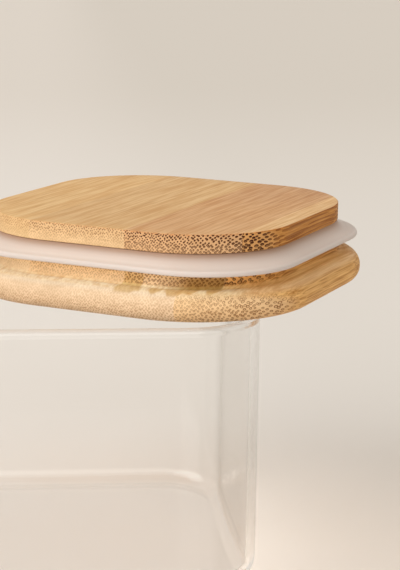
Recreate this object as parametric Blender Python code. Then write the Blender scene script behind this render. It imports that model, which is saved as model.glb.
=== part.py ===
"""A low square glass bowl whose laminated bamboo lid lies upside down across its rim.

All sizes are in metres, with +Z up. The origin is the centre of the bowl's flat base, +X runs to
the right along its front wall and +Y to the back. The lid is modelled about its own centre, with
its plate at the bottom, and an empty then lays it on the rim, turned and shifted as it was put down.
"""

import math

import bmesh
import bpy
from mathutils import Matrix

# Glass bowl: a rounded square pot with a full-round rim
BOWL_SIDE = 0.0880
BOWL_CORNER = 0.0200
BOWL_HEIGHT = 0.0680
WALL = 0.0022
FLOOR = 0.0025
BASE_ROUND = 0.0060
FLOOR_FILLET = 0.0040
RIM_FLAT = 0.0002

# How the lid fits the bowl when it is the right way up
PLUG_CLEARANCE = 0.0018
FIN_SQUEEZE = 0.0020
PLATE_OVERHANG = 0.0021

# Bamboo lid, from the plate at the bottom up to the crown of the plug
PLATE_THICK = 0.0075
PLATE_CORNER = 0.0315
NOSE_UPPER_ROUND = 0.0039
NOSE_FLAT = 0.0003
NECK_HEIGHT = 0.0032
FOOT_FILLET = 0.0020
GROOVE_HEIGHT = 0.0049
GROOVE_DEPTH = 0.0030
CROWN_HEIGHT = 0.0047
PLUG_CORNER = 0.0258
CROWN_EASE = 0.0004

# The strips that the lid's board is glued up from: the width left for the last one at the right
# edge of the plug, and how far a middle seam lies right of the lid's centre
STRIP_WIDTH = 0.0263
NARROWEST_STRIP = 0.0040
CROWN_EDGE_STRIP = 0.0055
NECK_EDGE_STRIP = 0.0083
NECK_MIDDLE_SEAM = 0.0085
PLATE_MIDDLE_SEAM = -0.0026
GLUE_GAP = 0.0003
SAW_OVERRUN = 0.0050

# Silicone gasket: a root in the groove and a fin that droops and then flares outwards; its upper
# face bends at the given reach beyond the plug, and at the given drop below the groove's top
SEAT_GAP = 0.0003
ROOT_INSET = 0.0004
FIN_ROOT_THICK = 0.0027
FIN_BEND_REACH = 0.0010
FIN_BEND_DROP = 0.0020
FIN_DROP = 0.00455
FIN_EDGE = 0.0015
FIN_CORNER = 0.0248

# Where the lid was laid down, from the centre of the bowl
LID_RIGHT = 0.0240
LID_BACK = 0.0112
LID_TURN = math.radians(-30.5)
REST_GAP = 0.0003

# How far the ring at the neck's foot is sunk into the neck, so that the two share no faces
FOOT_SINK = 0.00005

# Fineness of the rounded shapes
CORNER_STEPS = 12
ROUND_STEPS = 4
EASE_STEPS = 2

# Sizes that follow from the ones above
MOUTH_HALF = BOWL_SIDE / 2 - WALL
PLUG_HALF = MOUTH_HALF - PLUG_CLEARANCE
FIN_HALF = MOUTH_HALF + FIN_SQUEEZE
PLATE_HALF = BOWL_SIDE / 2 + PLATE_OVERHANG
NOSE_LOWER_ROUND = PLATE_THICK - NOSE_FLAT - NOSE_UPPER_ROUND
CORE_HALF = PLUG_HALF - GROOVE_DEPTH
GROOVE_LOW = PLATE_THICK + NECK_HEIGHT
GROOVE_HIGH = GROOVE_LOW + GROOVE_HEIGHT
BOARD_THICK = GROOVE_HIGH + CROWN_HEIGHT
MIDDLE_PLY_TOP = (PLATE_THICK + BOARD_THICK) / 2

# Colours as seen: red, green, blue
GLASS_TINT = (0.93, 0.94, 0.92)
SILICONE_WHITE = (0.80, 0.72, 0.69)
YELLOW_BAMBOO = (0.62, 0.40, 0.19)
BROWN_BAMBOO = (0.53, 0.30, 0.15)
PALE_BAMBOO = (0.68, 0.45, 0.23)


def clear_scene():
    """Remove every object that the scene starts with."""
    for thing in list(bpy.data.objects):
        bpy.data.objects.remove(thing, do_unlink=True)


def new_collection(name):
    """Return a new collection linked to the scene."""
    group = bpy.data.collections.new(name)
    bpy.context.scene.collection.children.link(group)
    return group


def material(name, colour, roughness, clear=0.0):
    """Return a Principled material of one colour; clear is how far light passes through it."""
    finish = bpy.data.materials.new(name)
    finish.use_nodes = True
    shader = finish.node_tree.nodes["Principled BSDF"]
    shader.inputs["Base Color"].default_value = (*colour, 1.0)
    shader.inputs["Roughness"].default_value = roughness
    shader.inputs["Metallic"].default_value = 0.0
    shader.inputs["Transmission Weight"].default_value = clear
    finish.diffuse_color = (*colour, 1.0)
    return finish


def add_object(name, mesh, group):
    """Wrap a mesh in an object of the given name and put it in a collection."""
    thing = bpy.data.objects.new(name, mesh)
    group.objects.link(thing)
    return thing


def box_mesh(name, low, high):
    """Return a box mesh that spans from the low corner to the high corner."""
    shape = bmesh.new()
    bmesh.ops.create_cube(shape, size=1.0)
    size = [top - bottom for bottom, top in zip(low, high)]
    middle = [(top + bottom) / 2 for bottom, top in zip(low, high)]
    bmesh.ops.scale(shape, vec=size, verts=shape.verts)
    bmesh.ops.translate(shape, vec=middle, verts=shape.verts)
    mesh = bpy.data.meshes.new(name)
    shape.to_mesh(mesh)
    shape.free()
    return mesh


def round_edges(mesh, chosen, radius, steps):
    """Round the edges that chosen(edge) picks with arcs of the given radius."""
    shape = bmesh.new()
    shape.from_mesh(mesh)
    edges = [edge for edge in shape.edges if chosen(edge)]
    bmesh.ops.bevel(shape, geom=edges, offset=radius, segments=steps, profile=0.5, affect="EDGES")
    shape.to_mesh(mesh)
    shape.free()


def is_upright(edge):
    """Tell whether an edge runs straight up."""
    run = edge.verts[1].co - edge.verts[0].co
    return abs(run.z) > 0.99 * run.length


def lies_at(height):
    """Return a test for edges between a level face and a wall, at the given height."""
    def test(edge):
        level = all(abs(corner.co.z - height) < 1e-6 for corner in edge.verts)
        walls = [face for face in edge.link_faces if abs(face.normal.z) < 0.5]
        return level and len(walls) == 1
    return test


def rounded_block(name, half_side, corner, low, high):
    """Return the mesh of a square block with round upright corners, between two heights."""
    mesh = box_mesh(name, (-half_side, -half_side, low), (half_side, half_side, high))
    round_edges(mesh, is_upright, corner, CORNER_STEPS)
    return mesh


def add_guide(name, mesh, cutters):
    """Add an object that only shapes others, drawn as wire and left out of renders."""
    guide = add_object(name, mesh, cutters)
    guide.hide_render = True
    guide.display_type = "WIRE"
    return guide


def combine(base, guide, operation):
    """Add a live exact Boolean of base with a guide."""
    step = base.modifiers.new(guide.name, "BOOLEAN")
    step.operation = operation
    step.solver = "EXACT"
    step.object = guide


def settled_mesh(thing, name):
    """Return a new mesh of an object as its live modifiers shape it."""
    bpy.context.view_layer.update()
    seen = thing.evaluated_get(bpy.context.evaluated_depsgraph_get())
    mesh = bpy.data.meshes.new_from_object(seen)
    mesh.name = name
    return mesh


def shade(thing):
    """Shade curved faces smooth and keep real edges sharp."""
    thing.data.shade_smooth()
    thing.data.set_sharp_from_angle(angle=math.radians(35))


def make_bowl(group, cutters):
    """Build the one-piece glass bowl: a rounded block, hollowed out, with a full-round rim."""
    half = BOWL_SIDE / 2
    body = rounded_block("bowl_body", half, BOWL_CORNER, 0.0, BOWL_HEIGHT)
    round_edges(body, lies_at(0.0), BASE_ROUND, ROUND_STEPS)
    hollow_top = BOWL_HEIGHT + WALL
    hollow = rounded_block("bowl_hollow", MOUTH_HALF, BOWL_CORNER - WALL, FLOOR, hollow_top)
    round_edges(hollow, lies_at(FLOOR), FLOOR_FILLET, ROUND_STEPS)
    blank = add_guide("bowl_blank", body, cutters)
    combine(blank, add_guide("bowl_hollow", hollow, cutters), "DIFFERENCE")
    shell = settled_mesh(blank, "glass_bowl")
    round_edges(shell, lies_at(BOWL_HEIGHT), (WALL - RIM_FLAT) / 2, ROUND_STEPS)
    bowl = add_object("glass_bowl", shell, group)
    bowl.data.materials.clear()
    bowl.data.materials.append(material("clear_glass", GLASS_TINT, 0.03, clear=1.0))
    shade(bowl)
    return bowl


def outline(half_side, corner):
    """Return the points of a rounded square, anticlockwise: four arcs about its corner centres."""
    points = []
    for quarter in range(4):
        centre = math.radians(45 + 90 * quarter)
        middle_x = math.copysign(half_side - corner, math.cos(centre))
        middle_y = math.copysign(half_side - corner, math.sin(centre))
        for step in range(CORNER_STEPS + 1):
            angle = math.radians(90 * (quarter + step / CORNER_STEPS))
            points.append((middle_x + corner * math.cos(angle), middle_y + corner * math.sin(angle)))
    return points


def loft_ring(name, sections):
    """Join rounded squares, given as half side, corner and height, into one closed ring."""
    shape = bmesh.new()
    loops = []
    for half_side, corner, height in sections:
        loops.append([shape.verts.new((x, y, height)) for x, y in outline(half_side, corner)])
    for here, after in zip(loops, loops[1:] + loops[:1]):
        for index in range(len(here)):
            beside = (index + 1) % len(here)
            shape.faces.new((here[index], here[beside], after[beside], after[index]))
    bmesh.ops.recalc_face_normals(shape, faces=shape.faces)
    mesh = bpy.data.meshes.new(name)
    shape.to_mesh(mesh)
    shape.free()
    return mesh


def foot_ring():
    """Return the mesh of a ring that rounds the neck's foot out towards the plate.

    It begins in the glue line above the plate and ends flush with the neck.
    """
    inner = (PLUG_HALF - GROOVE_DEPTH / 2, PLUG_CORNER - GROOVE_DEPTH / 2)
    start = math.acos(1 - GLUE_GAP / 2 / FOOT_FILLET)
    sections = [(*inner, PLATE_THICK + GLUE_GAP / 2)]
    for step in range(ROUND_STEPS + 1):
        angle = start + (math.pi / 2 - start) * step / ROUND_STEPS
        reach = FOOT_FILLET * (1 - math.sin(angle)) - FOOT_SINK
        rise = FOOT_FILLET * (1 - math.cos(angle))
        sections.append((PLUG_HALF + reach, PLUG_CORNER + reach, PLATE_THICK + rise))
    sections.append((*inner, PLATE_THICK + FOOT_FILLET))
    return loft_ring("board_foot", sections)


def make_board(cutters):
    """Build the milled lid board: plate, neck, groove core and crown joined into one blank."""
    sunk = PLATE_THICK / 2
    plate = rounded_block("board_plate", PLATE_HALF, PLATE_CORNER, 0.0, PLATE_THICK)
    for height, radius in ((0.0, NOSE_LOWER_ROUND), (PLATE_THICK, NOSE_UPPER_ROUND)):
        round_edges(plate, lies_at(height), radius, ROUND_STEPS)
    neck = rounded_block("board_neck", PLUG_HALF, PLUG_CORNER, sunk, GROOVE_LOW)
    core_top = GROOVE_HIGH + CROWN_HEIGHT / 2
    core = rounded_block("board_core", CORE_HALF, PLUG_CORNER - GROOVE_DEPTH, sunk, core_top)
    crown = rounded_block("board_crown", PLUG_HALF, PLUG_CORNER, GROOVE_HIGH, BOARD_THICK)
    for height in (GROOVE_HIGH, BOARD_THICK):
        round_edges(crown, lies_at(height), CROWN_EASE, EASE_STEPS)
    board = add_guide("board_plate", plate, cutters)
    for mesh in (neck, core, crown):
        combine(board, add_guide(mesh.name, mesh, cutters), "UNION")
    return settled_mesh(board, "lid_board")


def add_foot(board, cutters):
    """Return a copy of the board whose neck has its rounded foot."""
    footed = add_guide("footed_board", board.copy(), cutters)
    combine(footed, add_guide("board_foot", foot_ring(), cutters), "UNION")
    return settled_mesh(footed, "footed_board")


def seams_across(rightmost, half_side):
    """List a ply's glue seams from the given one leftwards, one strip width apart."""
    room = rightmost + half_side - NARROWEST_STRIP
    count = math.floor(room / STRIP_WIDTH) + 1
    return [rightmost - index * STRIP_WIDTH for index in range(count)]


def make_strips(board, footed, lid, group, cutters):
    """Saw the board into the bamboo strips of its three plies, counted from the right."""
    beyond = PLATE_HALF + SAW_OVERRUN
    half_gap = GLUE_GAP / 2
    plate_seams = seams_across(PLATE_MIDDLE_SEAM + STRIP_WIDTH, PLATE_HALF)
    neck_seams = [PLUG_HALF - NECK_EDGE_STRIP] + seams_across(NECK_MIDDLE_SEAM, PLUG_HALF)
    crown_seams = seams_across(PLUG_HALF - CROWN_EDGE_STRIP, PLUG_HALF)
    tones = (PALE_BAMBOO, YELLOW_BAMBOO, BROWN_BAMBOO)
    plies = (
        ("plate_strip", board, plate_seams, -SAW_OVERRUN, PLATE_THICK),
        ("neck_strip", footed, neck_seams, PLATE_THICK + GLUE_GAP, MIDDLE_PLY_TOP - half_gap),
        ("crown_strip", board, crown_seams, MIDDLE_PLY_TOP + half_gap, BOARD_THICK + SAW_OVERRUN),
    )
    for name, blank, seams, low, high in plies:
        lefts = [seam + half_gap for seam in seams] + [-beyond]
        rights = [beyond] + [seam - half_gap for seam in seams]
        for index, (left, right) in enumerate(zip(lefts, rights)):
            strip_name = f"{name}_{index + 1}"
            saw_name = f"{strip_name}_saw"
            saw_mesh = box_mesh(saw_name, (left, -beyond, low), (right, beyond, high))
            saw = add_guide(saw_name, saw_mesh, cutters)
            saw.parent = lid
            strip = add_object(strip_name, blank.copy(), group)
            strip.parent = lid
            combine(strip, saw, "INTERSECT")
            strip.data.materials.clear()
            strip.data.materials.append(material(strip_name, tones[index % len(tones)], 0.55))
            shade(strip)


def make_gasket(lid, group):
    """Build the silicone gasket: a root that sits in the groove and one flaring fin."""
    root_in = CORE_HALF + SEAT_GAP
    root_in_corner = PLUG_CORNER - GROOVE_DEPTH + SEAT_GAP
    root_out = PLUG_HALF - ROOT_INSET
    root_out_corner = PLUG_CORNER - ROOT_INSET
    root_low = GROOVE_LOW + SEAT_GAP
    root_high = GROOVE_HIGH - SEAT_GAP
    bend_half = PLUG_HALF + FIN_BEND_REACH
    bend_corner = PLUG_CORNER + FIN_BEND_REACH
    tip_low = GROOVE_HIGH - FIN_DROP
    sections = (
        (root_in, root_in_corner, root_low),
        (root_out, root_out_corner, root_low),
        (root_out, root_out_corner, root_high - FIN_ROOT_THICK),
        (FIN_HALF, FIN_CORNER, tip_low),
        (FIN_HALF, FIN_CORNER, tip_low + FIN_EDGE),
        (bend_half, bend_corner, GROOVE_HIGH - FIN_BEND_DROP),
        (root_out, root_out_corner, root_high),
        (root_in, root_in_corner, root_high),
    )
    gasket = add_object("silicone_gasket", loft_ring("silicone_gasket", sections), group)
    gasket.parent = lid
    gasket.data.materials.append(material("silicone", SILICONE_WHITE, 0.45))
    shade(gasket)


def main():
    """Build the bowl and its lid."""
    clear_scene()
    group = new_collection("lidded_glass_bowl")
    cutters = new_collection("cutters")
    make_bowl(group, cutters)
    lid = bpy.data.objects.new("lid_laid_down", None)
    group.objects.link(lid)
    board = make_board(cutters)
    footed = add_foot(board, cutters)
    make_strips(board, footed, lid, group, cutters)
    make_gasket(lid, group)
    spot = Matrix.Translation((LID_RIGHT, LID_BACK, BOWL_HEIGHT + REST_GAP))
    lid.matrix_world = spot @ Matrix.Rotation(LID_TURN, 4, "Z")
    for blank in (board, footed):
        bpy.data.meshes.remove(blank)
    bpy.context.view_layer.update()


main()
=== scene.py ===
import math
from collections import namedtuple

import bmesh
import bpy
import numpy as np
from mathutils import Matrix, Vector


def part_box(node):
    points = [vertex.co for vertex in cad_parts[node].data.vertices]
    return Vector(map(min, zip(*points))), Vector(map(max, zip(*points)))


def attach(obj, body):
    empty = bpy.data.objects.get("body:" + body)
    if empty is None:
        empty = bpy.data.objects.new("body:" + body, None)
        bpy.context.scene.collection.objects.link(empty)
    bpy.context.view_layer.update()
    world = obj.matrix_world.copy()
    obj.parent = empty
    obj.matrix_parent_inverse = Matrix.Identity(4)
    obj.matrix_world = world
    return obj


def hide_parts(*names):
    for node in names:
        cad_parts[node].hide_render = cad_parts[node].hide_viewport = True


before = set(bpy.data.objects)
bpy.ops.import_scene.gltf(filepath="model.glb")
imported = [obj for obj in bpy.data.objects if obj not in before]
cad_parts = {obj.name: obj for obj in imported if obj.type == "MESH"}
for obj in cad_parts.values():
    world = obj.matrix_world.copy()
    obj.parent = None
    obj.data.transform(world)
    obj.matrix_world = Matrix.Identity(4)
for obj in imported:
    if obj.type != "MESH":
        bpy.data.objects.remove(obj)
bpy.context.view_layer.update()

MM = 0.001

# Bowl: half its side and its height, as the frame has them; its upright corner and wall; the radius
# of the bead round its rim, and how far down that fades into the wall; and its floor and rounds
_, BOWL_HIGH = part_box("glass_bowl")
BOWL_HALF = BOWL_HIGH.x
RIM_TOP = BOWL_HIGH.z
BOWL_CORNER = 20.0 * MM
WALL = 2.2 * MM
BEAD = 1.25 * MM
BEAD_FADE = 1.3 * MM
FLOOR = 2.5 * MM
BASE_ROUND = 6.0 * MM
FLOOR_FILLET = 4.0 * MM

# Lid, from the centre of its plate's underside: half sides, upright corners, heights and rounds
PLATE_HALF = 46.1 * MM
PLATE_CORNER = 31.5 * MM
PLATE_THICK = 7.5 * MM
NOSE_UPPER_ROUND = 3.9 * MM
NOSE_LOWER_ROUND = 3.3 * MM
PLUG_HALF = 40.0 * MM
PLUG_CORNER = 25.8 * MM
GROOVE_DEPTH = 3.0 * MM
GROOVE_LOW = 10.7 * MM
GROOVE_HIGH = 15.6 * MM
BOARD_THICK = 20.3 * MM
CROWN_EASE = 0.35 * MM
FOOT_FILLET = 2.2 * MM

# Half the straight part of the plug's side, in mm
STRAIGHT_HALF = (PLUG_HALF - PLUG_CORNER) / MM

# Gasket: its root in the groove; its fin's outline, drop and thickness; the rounds of its lip, with
# the angles in degrees at which these start and end; and where the fin's upper face is drawn towards
SEAT_GAP = 0.15 * MM
ROOT_INSET = 0.4 * MM
ROOT_DROP = 0.1 * MM
FIN_HALF = 43.8 * MM
FIN_CORNER = 24.8 * MM
FIN_DROP = 4.45 * MM
FIN_EDGE = 1.4 * MM
FIN_ROOT_THICK = 3.0 * MM
LIP_UPPER_ROUND = 0.85 * MM
LIP_UPPER_END = 77
LIP_LOWER_ROUND = 0.4 * MM
LIP_LOWER_START = -112
HINGE_REACH = 0.4 * MM
HINGE_RISE = 0.65 * MM

# How the lid lies across the rim
LID_PLACE = Vector((24.0 * MM, 11.2 * MM, RIM_TOP + 0.02 * MM))
LID_TURN = math.radians(-30.5)

# The height in mm of the glue line between the middle and the top ply
MIDDLE_PLY_TOP = 13.9

# A strip of the board: its tones on end grain, on faces along the grain (darker and redder, partly
# as painted shade) and on level faces; the spacing, size and least strength of its bundles; how
# dark, how hollow and how red those are; and how much they open out and darken from its left to its
# right
Strip = namedtuple("Strip", "end side level pitch size least dark hollow red growth")

# A ply: its seams in mm, left to right; the heights in mm at which the wood comes from the soft
# inside and from the hard outside of the cane; how hollow its bundles stay at the hard side; and
# its strips, left to right
Ply = namedtuple("Ply", "seams soft hard shell strips")
PLATE_PLY = Ply((-28.9, -2.6, 23.7), 7.2, 0.6, 0.75, (
    Strip(end=(0.68, 0.475, 0.285), side=(0.70, 0.395, 0.152), level=(0.77, 0.48, 0.245),
          pitch=0.52, size=0.31, least=0.20, dark=0.62, hollow=0.4, red=0.1, growth=0.0),
    Strip(end=(0.70, 0.51, 0.33), side=(0.70, 0.395, 0.152), level=(0.765, 0.483, 0.25),
          pitch=0.55, size=0.33, least=0.25, dark=0.66, hollow=0.6, red=0.1, growth=0.0),
    Strip(end=(0.745, 0.55, 0.36), side=(0.70, 0.395, 0.152), level=(0.755, 0.48, 0.248),
          pitch=0.55, size=0.33, least=0.35, dark=0.72, hollow=0.7, red=0.15, growth=0.002),
    Strip(end=(0.77, 0.525, 0.285), side=(0.72, 0.395, 0.132), level=(0.765, 0.475, 0.228),
          pitch=0.60, size=0.34, least=0.65, dark=0.88, hollow=0.95, red=0.45, growth=0.013),
))
NECK_PLY = Ply((-17.8, 8.5, 31.7), 7.4, 10.6, 0.8, (
    Strip(end=(0.815, 0.595, 0.355), side=(0.70, 0.40, 0.15), level=(0.82, 0.53, 0.265),
          pitch=0.54, size=0.29, least=0.15, dark=0.50, hollow=0.2, red=0.15, growth=0.0),
    Strip(end=(0.81, 0.56, 0.31), side=(0.70, 0.38, 0.13), level=(0.82, 0.50, 0.23),
          pitch=0.57, size=0.32, least=0.40, dark=0.62, hollow=0.3, red=0.3, growth=0.0),
    Strip(end=(0.81, 0.565, 0.32), side=(0.72, 0.40, 0.16), level=(0.86, 0.58, 0.30),
          pitch=0.66, size=0.35, least=0.70, dark=0.95, hollow=0.5, red=0.5, growth=0.002),
    Strip(end=(0.84, 0.44, 0.135), side=(0.76, 0.38, 0.100), level=(0.80, 0.45, 0.16),
          pitch=0.88, size=0.36, least=1.00, dark=1.00, hollow=0.65, red=1.0, growth=0.0),
))
CROWN_PLY = Ply((-18.1, 8.2, 34.5), 15.8, 19.8, 0.35, (
    Strip(end=(0.70, 0.48, 0.25), side=(0.67, 0.37, 0.115), level=(0.785, 0.50, 0.222),
          pitch=0.54, size=0.31, least=0.30, dark=0.60, hollow=0.2, red=0.2, growth=0.0),
    Strip(end=(0.72, 0.49, 0.265), side=(0.68, 0.38, 0.13), level=(0.730, 0.458, 0.207),
          pitch=0.54, size=0.33, least=0.25, dark=0.72, hollow=0.3, red=0.6, growth=0.0),
    Strip(end=(0.645, 0.392, 0.200), side=(0.64, 0.29, 0.09), level=(0.685, 0.392, 0.180),
          pitch=0.55, size=0.35, least=0.80, dark=1.00, hollow=0.6, red=0.9, growth=0.005),
    Strip(end=(0.66, 0.355, 0.130), side=(0.545, 0.232, 0.047), level=(0.79, 0.505, 0.245),
          pitch=0.68, size=0.40, least=1.00, dark=1.00, hollow=0.35, red=1.0, growth=0.0),
))

# Stains on the neck: where each fades in at its left and out at its right, how far from the neck's
# top its tongues run over the ledge, all in mm, and how it darkens the neck and the ledge
Stain = namedtuple("Stain", "left right reach neck ledge")
STAINS = (
    Stain(left=(8.3, 8.7), right=(13.3, 13.9), reach=(8.6, 9.8),
          neck=(0.84, 0.76, 0.54), ledge=(0.82, 0.72, 0.54)),
    Stain(left=(17.0, 26.0), right=(31.5, 31.9), reach=(5.8, 9.8),
          neck=(0.56, 0.43, 0.21), ledge=(0.81, 0.68, 0.48)),
)

# How far, in mm, |y| passes |x| where the lid's front and back begin and are reached, and the same
# for its two sides
FRONT_ZONE = (-10.0, 4.0)
BESIDE_ZONE = (2.0, -10.0)

# Stains lie where y and z in mm are less than these: on the front, and not up in the groove
FRONT_START = -14.0
STAIN_TOP = 12.0

# Factors on the wood's colour: for streaks, dark and light, on faces along the grain and across it,
# and on level faces, where the light one goes from pale strips to red ones; for end grain at the
# cane's hard side; for pores; and for bundles seen as lines
SIDE_STREAKS = ((0.70, 0.60, 0.46), (1.15, 1.28, 1.42))
END_STREAKS = ((0.94, 0.93, 0.91), (1.05, 1.06, 1.07))
LEVEL_DARK = (0.85, 0.75, 0.65)
LEVEL_LIGHTS = ((1.04, 1.10, 1.17), (1.09, 1.17, 1.25))
HARD_WOOD = (0.80, 0.66, 0.52)
PORE = (0.66, 0.52, 0.38)
BUNDLE_LINE = (0.52, 0.38, 0.24)

# Factors for places: paler wood with painted light on the ledge in front and where it runs along
# the grain; painted light where the ledge is innermost and beside the neck, and on the neck's top,
# its foot, and the foot in front, lifting their shade; the crown's edge and brown patch
LEDGE_FRONT_PALE_AND_PAINTED_LIGHT = (1.08, 1.22, 1.38)
LEDGE_ALONG_PALE_AND_PAINTED_LIGHT = (1.02, 1.13, 1.25)
LEDGE_INMOST_PAINTED_LIGHT = (1.07, 1.09, 1.13)
LEDGE_BESIDE_PAINTED_LIGHT = (1.24, 1.24, 1.06)
NECK_TOP_PAINTED_LIGHT = (1.22, 1.26, 1.27)
NECK_FOOT_PAINTED_LIGHT = (1.06, 1.12, 1.15)
NECK_TOE_PAINTED_LIGHT = (1.02, 1.17, 1.42)
SCORCHED = (0.88, 0.64, 0.46)
BROWNER = (0.92, 0.90, 0.93)

# Colour of the bundles' dots, in pale strips and in red ones
DOT_TONES = ((0.34, 0.14, 0.035), (0.05, 0.009, 0.002))

# Silicone at the fin's top; lower down, painted lighter where the near-level face gets less light;
# at its lip, painted darker against the lip's highlight; and at the root, where the wood shows
# through and painted shade falls under the crown; and its mould lines, as the radians of a sine in a
# metre of height
SILICONE_HIGH = (0.65, 0.55, 0.49)
SILICONE_LOW_PAINTED_LIGHT = (0.71, 0.62, 0.56)
SILICONE_LIP_PAINTED_SHADE = (0.58, 0.515, 0.475)
SILICONE_ROOT_SHADE_AND_WOOD = (0.35, 0.22, 0.15)
MOULD_LINES = 9000.0

# Glass seen straight and seen along its face
GLASS_FACE = (1.0, 1.0, 0.997)
GLASS_EDGE = (0.64, 0.62, 0.585)

# Camera, as the photograph was taken
CAMERA_PLACE = Vector((-8.6 * MM, -422.3 * MM, RIM_TOP + 95.03 * MM))
CAMERA_HEADING = math.radians(-5.44)
CAMERA_DIP = math.radians(12.54)
CAMERA_ROLL = math.radians(0.825)
LENS = 107.22

# Key and fill: where each comes from, how strong it is and how many degrees broad; their colour; and
# the room's colour, its strength as light and its strength as camera, mirrors and glass see it
KEY = ((-0.78, -0.46, 0.44), 2.1, 60)
FILL = ((0.05, -0.97, 0.22), 1.0, 60)
LAMP_TINT = (1.0, 0.985, 0.96)
ROOM_TINT = (1.0, 0.94, 0.87)
ROOM_STRENGTH = 0.55
ROOM_SEEN = 0.85

# A ray that has met more faces than this inside the glass goes straight out
TRAPPED_DEPTH = 4.5

# The floor: half its side; its height, just under the foot, so that the two don't meet; its tones
# near, under and far beyond the bowl, the far one darker as painted shade for light falling off;
# and the factor that paints light on its left
FLOOR_HALF = 8.0
FLOOR_HEIGHT = -0.3 * MM
FLOOR_NEAR = (0.805, 0.74, 0.67)
FLOOR_MIDDLE = (0.815, 0.778, 0.73)
FLOOR_FAR_PAINTED_SHADE = (0.725, 0.68, 0.62)
FLOOR_LEFT_PAINTED_LIGHT = (1.08, 1.08, 1.09)

# The angle in degrees from which an edge is real and isn't smoothed over
EDGE_ANGLE = 40

# Steps along each corner's arc and each side of the carried outlines
ARC_STEPS = 28
SIDE_STEPS = 12


def square_path():
    """The unit path round a rounded square, anticlockwise from the right-hand side's lower end.

    A point of the outline is (half side - corner) * seat + corner * normal. Along an arc the seat
    stays at one corner while the normal turns; along a side the normal stays while the seat runs
    from one corner to the next.
    """
    seats, normals = [], []
    corners = np.array([(1, -1), (1, 1), (-1, 1), (-1, -1)], float)
    for quarter in range(4):
        along = np.linspace(0, 1, SIDE_STEPS, endpoint=False)[:, None]
        start, end = corners[quarter], corners[(quarter + 1) % 4]
        angle = math.pi / 2 * quarter
        seats.append(start + (end - start) * along)
        normals.append(np.tile((math.cos(angle), math.sin(angle)), (SIDE_STEPS, 1)))
        turn = angle + np.linspace(0, math.pi / 2, ARC_STEPS, endpoint=False)
        seats.append(np.tile(end, (ARC_STEPS, 1)))
        normals.append(np.stack([np.cos(turn), np.sin(turn)], 1))
    return np.concatenate(seats), np.concatenate(normals)


def carry(name, profile, closed=False):
    """Carry a profile round the rounded square and return it as a mesh.

    Each profile row is (half side, corner, height). Vertex (i, j) is the outline of row i at path
    step j. An open profile runs from the underside's middle to the top's, and each end is closed
    with a fan to one point; a closed profile joins its last row to its first.
    """
    rows = np.array(profile, float)
    seats, normals = square_path()
    flat = (rows[:, 0] - rows[:, 1])[:, None, None] * seats + rows[:, 1][:, None, None] * normals
    height = np.broadcast_to(rows[:, 2][:, None, None], flat.shape[:2] + (1,))
    points = np.concatenate([flat, height], 2)
    count_rows, count_path = points.shape[:2]
    here = np.arange(count_rows if closed else count_rows - 1)[:, None]
    step = np.arange(count_path)[None, :]
    after = (here + 1) % count_rows
    beside = (step + 1) % count_path
    quads = np.stack([
        here * count_path + step, here * count_path + beside,
        after * count_path + beside, after * count_path + step,
    ], 2).reshape(-1, 4)
    vertices = points.reshape(-1, 3)
    faces = quads.tolist()
    if not closed:
        low, high = len(vertices), len(vertices) + 1
        ends = np.array([(0, 0, rows[0, 2]), (0, 0, rows[-1, 2])])
        vertices = np.concatenate([vertices, ends])
        last = (count_rows - 1) * count_path
        ring = np.arange(count_path)
        over = (ring + 1) % count_path
        faces += np.stack([np.full_like(ring, low), over, ring], 1).tolist()
        faces += np.stack([np.full_like(ring, high), last + ring, last + over], 1).tolist()
    mesh = bpy.data.meshes.new(name)
    mesh.from_pydata(vertices.tolist(), [], faces)
    mesh.update()
    return mesh


def saw_out(name, ply_mesh, left, right):
    """The part of a ply between two seams: cut by the plane across x at each, and closed there."""
    shape = bmesh.new()
    shape.from_mesh(ply_mesh)
    for seam, outwards in ((left, -1.0), (right, 1.0)):
        if seam is None:
            continue
        parts = shape.verts[:] + shape.edges[:] + shape.faces[:]
        cut = bmesh.ops.bisect_plane(shape, geom=parts, dist=1e-8, plane_co=(seam * MM, 0, 0),
                                     plane_no=(outwards, 0, 0), clear_outer=True)
        edges = [part for part in cut["geom_cut"] if isinstance(part, bmesh.types.BMEdge)]
        bmesh.ops.triangle_fill(shape, use_beauty=True, edges=edges, normal=(outwards, 0, 0))
    bmesh.ops.recalc_face_normals(shape, faces=shape.faces)
    mesh = bpy.data.meshes.new(name)
    shape.to_mesh(mesh)
    shape.free()
    return mesh


def put_in(mesh, finish, place=None):
    """Make a mesh an object at the origin, smooth but for its real edges, and return it."""
    if place is not None:
        mesh.transform(place)
    mesh.update()
    mesh.shade_smooth()
    mesh.set_sharp_from_angle(angle=math.radians(EDGE_ANGLE))
    mesh.materials.append(finish)
    thing = bpy.data.objects.new(mesh.name, mesh)
    bpy.context.scene.collection.objects.link(thing)
    return thing


def arc_rows(half, corner, height, radius, start, end, steps):
    """Profile rows along an arc in the section.

    Its centre has the given half side, corner and height. The half side and the corner both grow
    by radius * cos(angle) and the height by radius * sin(angle), so the outline stays parallel.
    """
    angle = np.radians(np.linspace(start, end, steps + 1))
    reach = radius * np.cos(angle)
    return np.stack([half + reach, corner + reach, height + radius * np.sin(angle)], 1).tolist()


def inward(half, corner, height, steps=6, least=1.0 * MM):
    """Profile rows that shrink a level face towards its middle, in even steps."""
    share = np.linspace(1, 0, steps, endpoint=False)
    floor_half = least + (half - least) * share
    floor_corner = np.minimum(corner, floor_half * 0.95) * share + least * 0.9 * (1 - share)
    return np.stack([floor_half, floor_corner, np.full(steps, height)], 1).tolist()


def outward(half, corner, height, steps=6):
    """The rows of inward, from the middle out to the edge."""
    return inward(half, corner, height, steps)[::-1]


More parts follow.
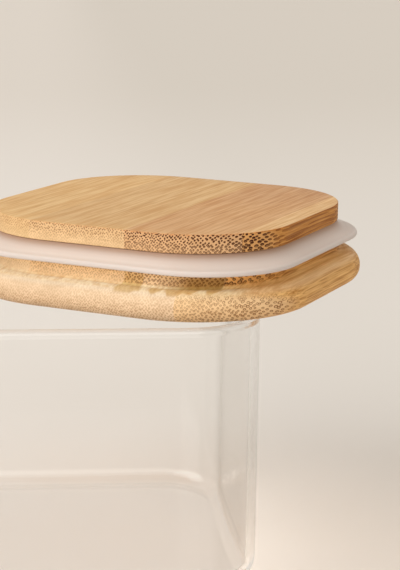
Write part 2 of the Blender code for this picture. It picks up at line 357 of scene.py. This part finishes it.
def bowl_profile():
    """Section of the bowl: foot, outer wall, full-round rim, inner wall, fillet and floor.

    The rim is a bead a little thicker than the wall, which it joins inside along half a cosine.
    """
    inner_half = BOWL_HALF - WALL
    inner_corner = BOWL_CORNER - WALL
    foot_half = BOWL_HALF - BASE_ROUND
    rows = outward(foot_half, BOWL_CORNER - BASE_ROUND, 0.0)
    rows += arc_rows(foot_half, BOWL_CORNER - BASE_ROUND, BASE_ROUND, BASE_ROUND, -90, 0, 12)[1:]
    bead_height = RIM_TOP - BEAD
    rows += arc_rows(BOWL_HALF - BEAD, BOWL_CORNER - BEAD, bead_height, BEAD, 0, 180, 20)
    share = np.linspace(0, 1, 9)[1:]
    blend_in = (WALL - 2 * BEAD) * (0.5 - 0.5 * np.cos(math.pi * share))
    rows += np.stack([BOWL_HALF - 2 * BEAD - blend_in, BOWL_CORNER - 2 * BEAD - blend_in,
                      bead_height - BEAD_FADE * share], 1).tolist()
    fillet_half = inner_half - FLOOR_FILLET
    fillet_corner = inner_corner - FLOOR_FILLET
    rows += arc_rows(fillet_half, fillet_corner, FLOOR + FLOOR_FILLET, FLOOR_FILLET, 0, -90, 12)
    rows += inward(fillet_half, fillet_corner, FLOOR)[1:]
    return rows


def plate_profile():
    """Section of the bottom ply: the plate with its round nose."""
    under_half, under_corner = PLATE_HALF - NOSE_LOWER_ROUND, PLATE_CORNER - NOSE_LOWER_ROUND
    over_half, over_corner = PLATE_HALF - NOSE_UPPER_ROUND, PLATE_CORNER - NOSE_UPPER_ROUND
    over_height = PLATE_THICK - NOSE_UPPER_ROUND
    rows = outward(under_half, under_corner, 0.0)
    rows += arc_rows(under_half, under_corner, NOSE_LOWER_ROUND, NOSE_LOWER_ROUND, -90, 0, 16)[1:]
    rows += arc_rows(over_half, over_corner, over_height, NOSE_UPPER_ROUND, 0, 90, 18)
    rows += inward(over_half, over_corner, PLATE_THICK)[1:]
    return rows


def neck_profile():
    """Section of the middle ply: the neck, rounded into the plate, and the core of the groove."""
    core_half, core_corner = PLUG_HALF - GROOVE_DEPTH, PLUG_CORNER - GROOVE_DEPTH
    ease_half, ease_corner = PLUG_HALF - CROWN_EASE, PLUG_CORNER - CROWN_EASE
    foot_half, foot_corner = PLUG_HALF + FOOT_FILLET, PLUG_CORNER + FOOT_FILLET
    rows = outward(foot_half, foot_corner, PLATE_THICK)
    rows += arc_rows(foot_half, foot_corner, PLATE_THICK + FOOT_FILLET, FOOT_FILLET, 270, 180, 12)[1:]
    rows += arc_rows(ease_half, ease_corner, GROOVE_LOW - CROWN_EASE, CROWN_EASE, 0, 90, 4)
    rows += [(core_half, core_corner, GROOVE_LOW)]
    rows += inward(core_half, core_corner, MIDDLE_PLY_TOP * MM)
    return rows


def crown_profile():
    """Section of the top ply: the core of the groove, and the crown with its edges eased."""
    core_half, core_corner = PLUG_HALF - GROOVE_DEPTH, PLUG_CORNER - GROOVE_DEPTH
    ease_half, ease_corner = PLUG_HALF - CROWN_EASE, PLUG_CORNER - CROWN_EASE
    rows = outward(core_half, core_corner, MIDDLE_PLY_TOP * MM)
    rows += [(core_half, core_corner, GROOVE_HIGH)]
    rows += arc_rows(ease_half, ease_corner, GROOVE_HIGH + CROWN_EASE, CROWN_EASE, -90, 0, 4)
    rows += arc_rows(ease_half, ease_corner, BOARD_THICK - CROWN_EASE, CROWN_EASE, 0, 90, 4)
    rows += inward(ease_half, ease_corner, BOARD_THICK)[1:]
    return rows


def gasket_profile():
    """Section of the gasket: a root in the groove and a fin that droops, then flares out.

    The fin's upper face is a parabola: steep at the root, almost level at the blunt, round lip.
    """
    root_in = PLUG_HALF - GROOVE_DEPTH + SEAT_GAP
    root_in_corner = PLUG_CORNER - GROOVE_DEPTH + SEAT_GAP
    root_out, root_out_corner = PLUG_HALF - ROOT_INSET, PLUG_CORNER - ROOT_INSET
    low, high = GROOVE_LOW + SEAT_GAP, GROOVE_HIGH - ROOT_DROP
    tip_low = GROOVE_HIGH - FIN_DROP
    tip_high = tip_low + FIN_EDGE
    lower = arc_rows(FIN_HALF - LIP_LOWER_ROUND, FIN_CORNER - LIP_LOWER_ROUND,
                     tip_low + LIP_LOWER_ROUND, LIP_LOWER_ROUND, LIP_LOWER_START, 0, 10)
    upper = arc_rows(FIN_HALF - LIP_UPPER_ROUND, FIN_CORNER - LIP_UPPER_ROUND,
                     tip_high - LIP_UPPER_ROUND, LIP_UPPER_ROUND, 0, LIP_UPPER_END, 12)
    share = np.linspace(0, 1, 13)[1:-1, None]
    under_root = np.array([root_out, root_out_corner, high - FIN_ROOT_THICK])
    over_root = np.array([root_out, root_out_corner, high])
    hinge = np.array([PLUG_HALF + HINGE_REACH, PLUG_CORNER + HINGE_REACH, tip_high + HINGE_RISE])
    under = under_root + (np.array(lower[0]) - under_root) * share
    over = (np.array(upper[-1]) * (1 - share) ** 2 + hinge * 2 * share * (1 - share)
            + over_root * share ** 2)
    rows = [(root_in, root_in_corner, low), (root_out, root_out_corner, low), tuple(under_root)]
    rows += under.tolist() + lower + upper + over.tolist()
    rows += [tuple(over_root), (root_in, root_in_corner, high)]
    return rows


class Wiring:
    """A node tree with short calls for adding and joining nodes."""

    def __init__(self, tree):
        self.tree = tree

    def node(self, kind, inputs=None, **settings):
        """Add a node, set its properties, and feed or set its inputs by name or number."""
        made = self.tree.nodes.new(kind)
        for key, value in settings.items():
            setattr(made, key, value)
        for key, value in (inputs or {}).items():
            self.feed(made.inputs[key], value)
        return made

    def group(self, tree, inputs):
        """Add a node group, feed its inputs, and return its outputs."""
        return self.node("ShaderNodeGroup", inputs, node_tree=tree).outputs

    def feed(self, socket, value):
        """Join a socket to an input, or set the input's own value; a colour may leave out alpha."""
        if isinstance(value, bpy.types.NodeSocket):
            self.tree.links.new(value, socket)
        elif socket.type == "RGBA" and len(value) == 3:
            socket.default_value = (*value, 1.0)
        else:
            socket.default_value = value

    def math(self, operation, first, second=0.0, third=0.0, clamp=False):
        """Return the result of one Math node."""
        made = self.node("ShaderNodeMath", {0: first, 1: second, 2: third},
                         operation=operation, use_clamp=clamp)
        return made.outputs[0]

    def band(self, value, low, high, start=0.0, end=1.0):
        """Return value smoothly mapped from low..high to start..end."""
        made = self.node("ShaderNodeMapRange", {"Value": value, "From Min": low, "From Max": high,
                                                "To Min": start, "To Max": end},
                         interpolation_type="SMOOTHSTEP")
        return made.outputs[0]

    def blend(self, share, first, second, kind="MIX"):
        """Return two colours mixed by share."""
        made = self.node("ShaderNodeMix", data_type="RGBA", blend_type=kind)
        self.feed(made.inputs["Factor"], share)
        self.feed(made.inputs[6], first)
        self.feed(made.inputs[7], second)
        return made.outputs[2]

    def times(self, first, second):
        """Return two colours multiplied."""
        return self.blend(1.0, first, second, "MULTIPLY")

    def tinted(self, share, colour, factor):
        """Return a colour multiplied by a factor where share is 1."""
        return self.blend(share, colour, self.times(colour, factor))

    def noise(self, vector, scale, detail=2.0, roughness=0.5):
        """Return the value of a 3-D noise."""
        made = self.node("ShaderNodeTexNoise", {"Vector": vector, "Scale": scale, "Detail": detail,
                                                "Roughness": roughness})
        return made.outputs[0]

    def stretch(self, vector, x, y, z):
        """Return a vector with each part multiplied."""
        made = self.node("ShaderNodeVectorMath", {0: vector, 1: (x, y, z)}, operation="MULTIPLY")
        return made.outputs[0]


def sockets(kind, *names):
    """Name and type of several sockets of one kind: Float, Color or Vector."""
    return [(name, f"NodeSocket{kind}") for name in names]


def new_group(name, inputs, outputs):
    """Make a shader node group and return it with its input node's sockets and output node."""
    group = bpy.data.node_groups.new(name, "ShaderNodeTree")
    for socket_name, kind in inputs:
        group.interface.new_socket(socket_name, in_out="INPUT", socket_type=kind)
    for socket_name, kind in outputs:
        group.interface.new_socket(socket_name, in_out="OUTPUT", socket_type=kind)
    wiring = Wiring(group)
    return group, wiring, wiring.node("NodeGroupInput").outputs, wiring.node("NodeGroupOutput").inputs


def new_material(name):
    """Make a material and return it with its wiring and its Principled shader."""
    finish = bpy.data.materials.new(name)
    finish.use_nodes = True
    return finish, Wiring(finish.node_tree), finish.node_tree.nodes["Principled BSDF"]


def bundle_group():
    """Vascular bundles of bamboo: rings set in a diamond lattice across the grain.

    The lattice lies in the plane across the fibres, so a face across the grain shows dots, one
    along it shows lines, and a round nose shows the dots drawn out. Each ring is darker above,
    as painted shade.
    """
    group, w, given, out = new_group(
        "bamboo_bundles", sockets("Float", "Across", "Through", "Pitch", "Size", "Hollow"),
        sockets("Float", "Mask"))
    root_half = math.sqrt(0.5)
    plus = w.math("ADD", given["Across"], given["Through"])
    minus = w.math("SUBTRACT", given["Through"], given["Across"])
    u = w.math("DIVIDE", w.math("MULTIPLY", plus, root_half), given["Pitch"])
    v = w.math("DIVIDE", w.math("MULTIPLY", minus, root_half), given["Pitch"])
    spot = w.node("ShaderNodeCombineXYZ", {"X": u, "Y": v}).outputs[0]
    cell = w.node("ShaderNodeTexVoronoi", {"Vector": spot, "Scale": 1.0, "Randomness": 0.52},
                  voronoi_dimensions="2D", feature="F1")
    distance = cell.outputs["Distance"]
    chance = w.node("ShaderNodeSeparateColor", {"Color": cell.outputs["Color"]})
    away = w.node("ShaderNodeVectorMath", {0: spot, 1: cell.outputs["Position"]},
                  operation="SUBTRACT")
    part = w.node("ShaderNodeSeparateXYZ", {0: away.outputs[0]})
    above = w.math("ADD", part.outputs["X"], part.outputs["Y"])
    size = w.math("MULTIPLY", given["Size"], w.band(chance.outputs["Red"], 0.0, 1.0, 0.85, 1.15))
    disc = w.band(distance, w.math("ADD", size, 0.05), w.math("SUBTRACT", size, 0.05))
    core = w.band(distance, w.math("MULTIPLY", size, 0.80), w.math("MULTIPLY", size, 0.45))
    ring = w.math("SUBTRACT", disc, w.math("MULTIPLY", core, given["Hollow"]), clamp=True)
    # Painted shade: each ring darker on its upper side
    painted_shade_above = w.band(above, -0.35, 0.10, 0.80, 1.30)
    strength = w.band(chance.outputs["Green"], 0.0, 1.0, 0.9, 1.1)
    w.feed(out["Mask"], w.math("MULTIPLY", w.math("MULTIPLY", ring, painted_shade_above), strength, clamp=True))
    return group


def fibre_group():
    """Long streaks along the fibres: fine ones, broad ones and thin dark pores, each 0 to 1."""
    group, w, given, out = new_group(
        "bamboo_fibres", sockets("Vector", "Place"), sockets("Float", "Fine", "Broad", "Pores"))
    fine = w.noise(w.stretch(given["Place"], 1.5, 0.06, 2.0), 1.0, 3.0, 0.6)
    broad = w.noise(w.stretch(given["Place"], 0.35, 0.012, 0.7), 1.0, 3.0, 0.6)
    pores = w.noise(w.stretch(given["Place"], 1.3, 0.05, 2.2), 1.0, 2.0, 0.6)
    w.feed(out["Fine"], w.band(fine, 0.32, 0.68))
    w.feed(out["Broad"], w.band(broad, 0.34, 0.66))
    w.feed(out["Pores"], w.band(pores, 0.58, 0.72))
    return group


def strip_group():
    """One strip of bamboo: bundles on its end grain, streaks along it, from the strip's own values.

    Place is in mm from the lid's centre with y along the grain, and Facing is the normal turned the
    same way. Hard grows from 0 at the soft height to 1 at the hard one.
    """
    group, w, given, out = new_group(
        "bamboo_strip",
        sockets("Vector", "Place", "Facing") + sockets("Color", "End Tone", "Side Tone", "Level Tone")
        + sockets("Float", "Pitch", "Size", "Least", "Dark", "Hollow", "Red", "Growth", "Left",
                  "Soft Height", "Hard Height", "Shell"),
        sockets("Color", "Colour") + sockets("Float", "Roughness", "Relief", "End Grain", "Level"))
    face = w.node("ShaderNodeSeparateXYZ", {0: given["Facing"]}).outputs
    spot = w.node("ShaderNodeSeparateXYZ", {0: given["Place"]}).outputs
    upwards = w.math("MULTIPLY", w.math("MAXIMUM", face["Z"], 0.0), 0.3)
    end_grain = w.band(w.math("SUBTRACT", w.math("ABSOLUTE", face["Y"]), upwards), 0.10, 0.45)
    level = w.band(w.math("ABSOLUTE", face["Z"]), 0.5, 0.9)
    hard = w.band(spot["Z"], given["Soft Height"], given["Hard Height"])

    drift = w.node("ShaderNodeTexNoise", {"Vector": w.stretch(given["Place"], 0.03, 0.02, 0.05),
                                          "Scale": 1.0, "Detail": 1.0})
    jitter = w.node("ShaderNodeTexNoise", {"Vector": w.stretch(given["Place"], 0.45, 0.03, 0.45),
                                           "Scale": 1.0, "Detail": 0.0})
    sway = w.node("ShaderNodeSeparateColor", {"Color": drift.outputs["Color"]}).outputs
    shake = w.node("ShaderNodeSeparateColor", {"Color": jitter.outputs["Color"]}).outputs
    across = w.math("ADD", spot["X"], w.math("MULTIPLY", sway["Red"], 3.0))
    across = w.math("ADD", across, w.math("MULTIPLY", shake["Red"], 0.4))
    through = w.math("ADD", w.math("MULTIPLY", spot["Z"], 0.9), w.math("MULTIPLY", sway["Green"], 3.0))
    through = w.math("ADD", through, w.math("MULTIPLY", shake["Green"], 0.4))
    grown = w.math("MULTIPLY", w.math("SUBTRACT", spot["X"], given["Left"]), given["Growth"])
    across = w.math("MULTIPLY", w.math("SUBTRACT", across, given["Left"]),
                    w.math("SUBTRACT", 1.0, w.math("MULTIPLY", grown, 0.5)))
    through = w.math("MULTIPLY", through, w.math("SUBTRACT", 1.0, grown))
    size = w.math("MULTIPLY", given["Size"], w.band(hard, 0.0, 1.0, 1.1, 0.95))
    hollow = w.math("MULTIPLY", given["Hollow"], w.band(hard, 0.0, 1.0, 1.0, given["Shell"]))
    rings = w.group(bundle_group(), {"Across": across, "Through": through, "Pitch": given["Pitch"],
                                     "Size": size, "Hollow": hollow})
    grain = w.group(fibre_group(), {"Place": given["Place"]})

    gained = w.math("MULTIPLY", hard, w.math("SUBTRACT", 1.0, given["Least"]))
    share = w.math("ADD", given["Least"], gained)
    along = w.band(level, 0.0, 1.0, w.band(given["Red"], 0.2, 1.0, 0.35, 0.85), 0.12)
    by_face = w.node("ShaderNodeMix", {0: end_grain, 2: along, 3: 1.0}).outputs[0]
    shown = w.math("MULTIPLY", share, by_face)
    shown = w.math("MULTIPLY", shown, w.band(grown, 0.0, 0.2, 1.0, 1.45))
    dots = w.math("MULTIPLY", w.math("MULTIPLY", rings["Mask"], shown), given["Dark"], clamp=True)
    streak = w.math("ADD", w.math("MULTIPLY", grain["Fine"], 0.8), w.math("MULTIPLY", grain["Broad"], 0.2))
    # Side tones are darker and redder, partly as painted shade
    on_side = w.times(given["Side Tone"], w.blend(streak, *SIDE_STREAKS))
    light = w.blend(given["Red"], *LEVEL_LIGHTS)
    on_level = w.times(given["Level Tone"], w.blend(streak, LEVEL_DARK, light))
    on_end = w.times(given["End Tone"], w.blend(grain["Broad"], *END_STREAKS))
    on_end = w.tinted(w.math("MULTIPLY", hard, 0.35), on_end, HARD_WOOD)
    body = w.blend(end_grain, w.blend(level, on_side, on_level), on_end)
    pores = w.math("MULTIPLY", grain["Pores"], w.band(end_grain, 0.0, 1.0, 0.35, 0.0))
    body = w.tinted(pores, body, PORE)
    dark = w.blend(given["Red"], *DOT_TONES)
    w.feed(out["Colour"], w.blend(dots, body, w.blend(end_grain, w.times(body, BUNDLE_LINE), dark)))
    w.feed(out["Roughness"], w.band(streak, 0.0, 1.0, 0.62, 0.52))
    ridges = w.math("MULTIPLY", streak, w.band(level, 0.0, 1.0, 0.6, 0.15))
    w.feed(out["Relief"], w.math("SUBTRACT", ridges, w.math("MULTIPLY", dots, 0.5)))
    w.feed(out["End Grain"], end_grain)
    w.feed(out["Level"], level)
    return group


def neck_run(w, x, y, z):
    """Distance in mm from the neck's top: down the neck, then out across the ledge."""
    out_x = w.math("MAXIMUM", w.math("SUBTRACT", w.math("ABSOLUTE", x), STRAIGHT_HALF), 0.0)
    out_y = w.math("MAXIMUM", w.math("SUBTRACT", w.math("ABSOLUTE", y), STRAIGHT_HALF), 0.0)
    squares = w.math("ADD", w.math("MULTIPLY", out_x, out_x), w.math("MULTIPLY", out_y, out_y))
    beyond = w.math("SUBTRACT", w.math("SQRT", squares), PLUG_CORNER / MM)
    down = w.math("SUBTRACT", GROOVE_LOW / MM, z)
    return w.math("ADD", down, w.math("MAXIMUM", beyond, 0.0))


def neck_stain(w, x, y, z, stain):
    """Mask of a stain on the neck's front, feathered at its ends and fainter at its top."""
    front = w.math("MULTIPLY", w.math("LESS_THAN", y, FRONT_START), w.math("LESS_THAN", z, STAIN_TOP))
    ends = w.math("MULTIPLY", w.band(x, *stain.left), w.band(x, *reversed(stain.right)))
    return w.math("MULTIPLY", w.math("MULTIPLY", ends, front), w.band(z, 10.3, 9.3, 0.55, 1.0))


def ledge_stain(w, x, y, run, stain):
    """Mask of where a stain runs out over the ledge, in tongues between its two distances."""
    ragged = w.noise(w.node("ShaderNodeCombineXYZ", {"X": x}).outputs[0], 0.16, 1.0, 0.5)
    gap = w.math("SUBTRACT", w.band(ragged, 0.38, 0.58, *stain.reach), run)
    front = w.math("LESS_THAN", y, FRONT_START)
    left, right = stain.left[0], stain.right[1]
    ends = w.math("MULTIPLY", w.band(x, left - 1.0, left), w.band(x, right + 1.0, right))
    return w.math("MULTIPLY", w.math("MULTIPLY", ends, front), w.band(gap, -0.3, 1.3))


def strip_material(name, ply, strip, left_seam, wood):
    """Bare bamboo of one strip, with what is its ply's own.

    The plate has a ledge made paler, by paler wood and by painted light, with stains; the neck the
    same stains and painted light on its top and foot; the crown a scorched edge and a browner
    patch. Places are in mm from the centre of the lid's underside.
    """
    finish, w, shader = new_material(name)
    where = w.node("ShaderNodeTexCoord").outputs
    local = w.node("ShaderNodeMapping", {"Vector": where["Object"], "Location": LID_PLACE,
                                         "Rotation": (0, 0, LID_TURN), "Scale": (MM, MM, MM)},
                   vector_type="TEXTURE").outputs[0]
    facing = w.node("ShaderNodeVectorRotate", {"Vector": where["Normal"], "Angle": -LID_TURN,
                                               "Axis": (0, 0, 1)}, rotation_type="AXIS_ANGLE").outputs[0]
    bare = w.group(wood, {
        "Place": local, "Facing": facing, "End Tone": strip.end, "Side Tone": strip.side,
        "Level Tone": strip.level, "Pitch": strip.pitch, "Size": strip.size, "Least": strip.least,
        "Dark": strip.dark, "Hollow": strip.hollow, "Red": strip.red, "Growth": strip.growth,
        "Left": left_seam, "Soft Height": ply.soft, "Hard Height": ply.hard, "Shell": ply.shell})
    spot = w.node("ShaderNodeSeparateXYZ", {0: local}).outputs
    x, y, z = spot["X"], spot["Y"], spot["Z"]
    colour = bare["Colour"]
    along_grain = w.math("SUBTRACT", 1.0, bare["End Grain"])
    endwise = w.math("SUBTRACT", w.math("ABSOLUTE", y), w.math("ABSOLUTE", x))
    if ply is PLATE_PLY:
        run = neck_run(w, x, y, z)
        # Paler wood and painted light on the ledge in front, which the gasket's fin shades
        pale = w.math("MULTIPLY", w.band(z, 5.5, 7.4), w.band(endwise, *FRONT_ZONE))
        colour = w.tinted(pale, colour, LEDGE_FRONT_PALE_AND_PAINTED_LIGHT)
        colour = w.tinted(w.math("MULTIPLY", pale, along_grain), colour, LEDGE_ALONG_PALE_AND_PAINTED_LIGHT)
        # Painted light in the crease where the neck's foot meets the nose, lifting its shade
        inmost_painted_light = w.math("MULTIPLY", w.band(run, 7.2, 5.8), w.band(endwise, *FRONT_ZONE))
        colour = w.tinted(inmost_painted_light, colour, LEDGE_INMOST_PAINTED_LIGHT)
        # Painted light on the ledge beside the neck, on the lid's sides, lifting its shade
        beside = w.math("MULTIPLY", w.band(endwise, *BESIDE_ZONE), bare["Level"])
        colour = w.tinted(w.math("MULTIPLY", w.band(run, 9.0, 5.0), beside), colour, LEDGE_BESIDE_PAINTED_LIGHT)
        for stain in STAINS:
            colour = w.tinted(ledge_stain(w, x, y, run, stain), colour, stain.ledge)
    elif ply is NECK_PLY:
        # Painted light on the neck's top, in the shade of the gasket's fin
        colour = w.tinted(w.band(z, 8.8, 9.9), colour, NECK_TOP_PAINTED_LIGHT)
        # Painted light on the neck's foot, in the crease where it rounds into the plate, and more in front
        foot = w.math("MULTIPLY", along_grain, w.band(z, 8.6, 7.6))
        colour = w.tinted(foot, colour, NECK_FOOT_PAINTED_LIGHT)
        toe_painted_light = w.math("MULTIPLY", foot, w.band(endwise, *FRONT_ZONE))
        colour = w.tinted(toe_painted_light, colour, NECK_TOE_PAINTED_LIGHT)
        for stain in STAINS:
            colour = w.tinted(neck_stain(w, x, y, z, stain), colour, stain.neck)
    else:
        ragged = w.noise(w.node("ShaderNodeCombineXYZ", {"X": x}).outputs[0], 1.1, 2.0)
        edge = w.band(w.math("ADD", z, w.math("MULTIPLY", ragged, 1.2)), 20.45, 20.85)
        upright = w.math("SUBTRACT", 1.0, bare["Level"])
        scorched = w.math("MULTIPLY", w.math("MULTIPLY", edge, upright), strip.red)
        colour = w.tinted(scorched, colour, SCORCHED)
        patch = w.math("MULTIPLY", w.band(y, -4.0, 26.0), w.band(x, 6.0, 14.0))
        patch = w.math("MULTIPLY", patch, w.band(x, 35.5, 33.0))
        colour = w.tinted(w.math("MULTIPLY", patch, bare["Level"]), colour, BROWNER)
    w.feed(shader.inputs["Base Color"], colour)
    w.feed(shader.inputs["Roughness"], bare["Roughness"])
    bump = w.node("ShaderNodeBump", {"Height": bare["Relief"], "Strength": 0.3, "Distance": 0.06 * MM})
    w.feed(shader.inputs["Normal"], bump.outputs[0])
    shader.inputs["Specular IOR Level"].default_value = 0.15
    return finish


def silicone_material():
    """Milky silicone with faint mould lines round it.

    Near its root the wood shows through and painted shade darkens it under the crown; by height
    it is painted lighter on the near-level face above the lip and darker on the lip itself.
    """
    finish, w, shader = new_material("milky_silicone")
    where = w.node("ShaderNodeTexCoord").outputs["Object"]
    height = w.node("ShaderNodeSeparateXYZ", {0: where}).outputs["Z"]
    top = LID_PLACE.z + GROOVE_HIGH - ROOT_DROP
    # Painted shade under the crown's edge, mixed with the wood showing through near the root
    rooted_shade_and_wood = w.band(height, top - 2.25 * MM, top - 0.05 * MM)
    # Painted light on the near-level face above the lip, and painted shade on the lip against its
    # highlight
    level_painted_light = w.band(height, top - 1.8 * MM, top - 2.7 * MM)
    lip = w.band(height, top - 2.7 * MM, top - 3.7 * MM)
    tint_with_painted_light = w.blend(lip, w.blend(level_painted_light, SILICONE_HIGH, SILICONE_LOW_PAINTED_LIGHT), SILICONE_LIP_PAINTED_SHADE)
    w.feed(shader.inputs["Base Color"], w.blend(rooted_shade_and_wood, tint_with_painted_light, SILICONE_ROOT_SHADE_AND_WOOD))
    shader.inputs["Roughness"].default_value = 0.5
    shader.inputs["Specular IOR Level"].default_value = 0.18
    shader.inputs["Subsurface Weight"].default_value = 0.35
    shader.inputs["Subsurface Radius"].default_value = (1.0, 0.8, 0.7)
    shader.inputs["Subsurface Scale"].default_value = 1.5 * MM
    lines = w.math("SINE", w.math("MULTIPLY", height, MOULD_LINES))
    bump = w.node("ShaderNodeBump", {"Height": lines, "Strength": 0.08, "Distance": 0.05 * MM})
    w.feed(shader.inputs["Normal"], bump.outputs[0])
    return finish


def glass_material():
    """Clear, slightly warm soda glass that lets the lamps' light through to what is inside.

    A ray caught between its two faces is let out, as the real wall scatters it out in the end.
    """
    finish, w, shader = new_material("clear_glass_finish")
    slant = w.node("ShaderNodeLayerWeight", {"Blend": 0.5}).outputs["Facing"]
    w.feed(shader.inputs["Base Color"], w.blend(w.band(slant, 0.45, 0.95), GLASS_FACE, GLASS_EDGE))
    shader.inputs["Roughness"].default_value = 0.0
    shader.inputs["IOR"].default_value = 1.47
    shader.inputs["Transmission Weight"].default_value = 1.0
    path = w.node("ShaderNodeLightPath").outputs
    clear = w.node("ShaderNodeBsdfTransparent", {"Color": (0.99, 0.99, 0.99)})
    trapped = w.math("GREATER_THAN", path["Ray Depth"], TRAPPED_DEPTH)
    both = w.node("ShaderNodeMixShader", {0: w.math("MAXIMUM", path["Is Shadow Ray"], trapped),
                                          1: shader.outputs[0], 2: clear.outputs[0]})
    w.feed(finish.node_tree.nodes["Material Output"].inputs["Surface"], both.outputs[0])
    return finish


def make_floor():
    """A wide pale floor, a little below the bowl's foot, warmer near by, darker and greyer far off
    as painted shade, and lighter on its left as painted light.
    """
    mesh = bpy.data.meshes.new("floor")
    corners = np.array([(-1, -1, 0), (1, -1, 0), (1, 1, 0), (-1, 1, 0)]) * FLOOR_HALF
    mesh.from_pydata((corners + (0, 0, FLOOR_HEIGHT)).tolist(), [], [(0, 1, 2, 3)])
    floor = bpy.data.objects.new("floor", mesh)
    bpy.context.scene.collection.objects.link(floor)
    finish, w, shader = new_material("pale_floor")
    where = w.node("ShaderNodeTexCoord").outputs["Object"]
    place = w.node("ShaderNodeSeparateXYZ", {0: where}).outputs
    # Painted shade: the floor darker far off, as if the light fell off
    tone = w.blend(w.band(place["Y"], 0.2, 1.2), FLOOR_MIDDLE, FLOOR_FAR_PAINTED_SHADE)
    tone = w.blend(w.band(place["Y"], 0.12, -0.05), tone, FLOOR_NEAR)
    # Painted light: the floor lighter on its left
    w.feed(shader.inputs["Base Color"], w.tinted(w.band(place["X"], 0.12, -0.02), tone, FLOOR_LEFT_PAINTED_LIGHT))
    shader.inputs["Roughness"].default_value = 0.9
    shader.inputs["Specular IOR Level"].default_value = 0.1
    mesh.materials.append(finish)


def make_light(name, source, strength, spread):
    """Add a broad, far-off light that comes from the source's direction."""
    lamp = bpy.data.lights.new(name, "SUN")
    lamp.energy = strength
    lamp.angle = math.radians(spread)
    lamp.color = LAMP_TINT
    thing = bpy.data.objects.new(name, lamp)
    thing.rotation_euler = Vector(source).to_track_quat("Z", "Y").to_euler()
    bpy.context.scene.collection.objects.link(thing)


def light_scene():
    """Soft light from the left and the front, in a pale room that glass sees brighter."""
    make_light("key", *KEY)
    make_light("fill", *FILL)
    world = bpy.data.worlds.new("pale_room")
    bpy.context.scene.world = world
    world.use_nodes = True
    w = Wiring(world.node_tree)
    ground = world.node_tree.nodes["Background"]
    path = w.node("ShaderNodeLightPath").outputs
    seen = w.math("MAXIMUM", path["Is Camera Ray"],
                  w.math("MAXIMUM", path["Is Glossy Ray"], path["Is Transmission Ray"]))
    w.feed(ground.inputs["Color"], ROOM_TINT)
    w.feed(ground.inputs["Strength"], w.band(seen, 0.0, 1.0, ROOM_STRENGTH, ROOM_SEEN))


def make_camera():
    """The camera that took the photograph: heading, dip and roll in that order."""
    lens = bpy.data.cameras.new("camera")
    lens.lens = LENS
    lens.sensor_width = 36.0
    lens.clip_start, lens.clip_end = 0.01, 50.0
    camera = bpy.data.objects.new("camera", lens)
    turn = (Matrix.Rotation(CAMERA_HEADING, 4, "Z")
            @ Matrix.Rotation(math.pi / 2 - CAMERA_DIP, 4, "X")
            @ Matrix.Rotation(CAMERA_ROLL, 4, "Z"))
    camera.matrix_world = Matrix.Translation(CAMERA_PLACE) @ turn
    bpy.context.scene.collection.objects.link(camera)
    bpy.context.scene.camera = camera


def make_bowl():
    """The glass bowl, with its real wall and full-round rim."""
    bowl = put_in(carry("glass_bowl_clear", bowl_profile()), glass_material())
    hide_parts("glass_bowl")
    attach(bowl, "bowl")


def make_board(laid):
    """The lid's board, strip by strip; its strips are counted from the right."""
    wood = strip_group()
    plies = (("plate", PLATE_PLY, plate_profile()), ("neck", NECK_PLY, neck_profile()),
             ("crown", CROWN_PLY, crown_profile()))
    for name, ply, profile in plies:
        whole = carry(name, profile)
        seams = (None, *ply.seams, None)
        for strip, left, right, number in zip(ply.strips, seams, seams[1:], (4, 3, 2, 1)):
            mesh = saw_out(f"{name}_bamboo_{number}", whole, left, right)
            edge = -PLATE_HALF / MM if left is None else left
            finish = strip_material(f"{name}_bamboo_{number}_finish", ply, strip, edge, wood)
            piece = put_in(mesh, finish, laid)
            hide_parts(f"{name}_strip_{number}")
            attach(piece, "lid")
        bpy.data.meshes.remove(whole)


def make_gasket(laid):
    """The silicone gasket, seated in the board's groove."""
    seal = put_in(carry("silicone_seal", gasket_profile(), closed=True), silicone_material(), laid)
    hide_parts("silicone_gasket")
    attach(seal, "lid")


make_camera()
light_scene()
make_floor()
make_bowl()
lid_place = Matrix.Translation(LID_PLACE) @ Matrix.Rotation(LID_TURN, 4, "Z")
make_board(lid_place)
make_gasket(lid_place)
bpy.context.scene.view_settings.view_transform = "Standard"
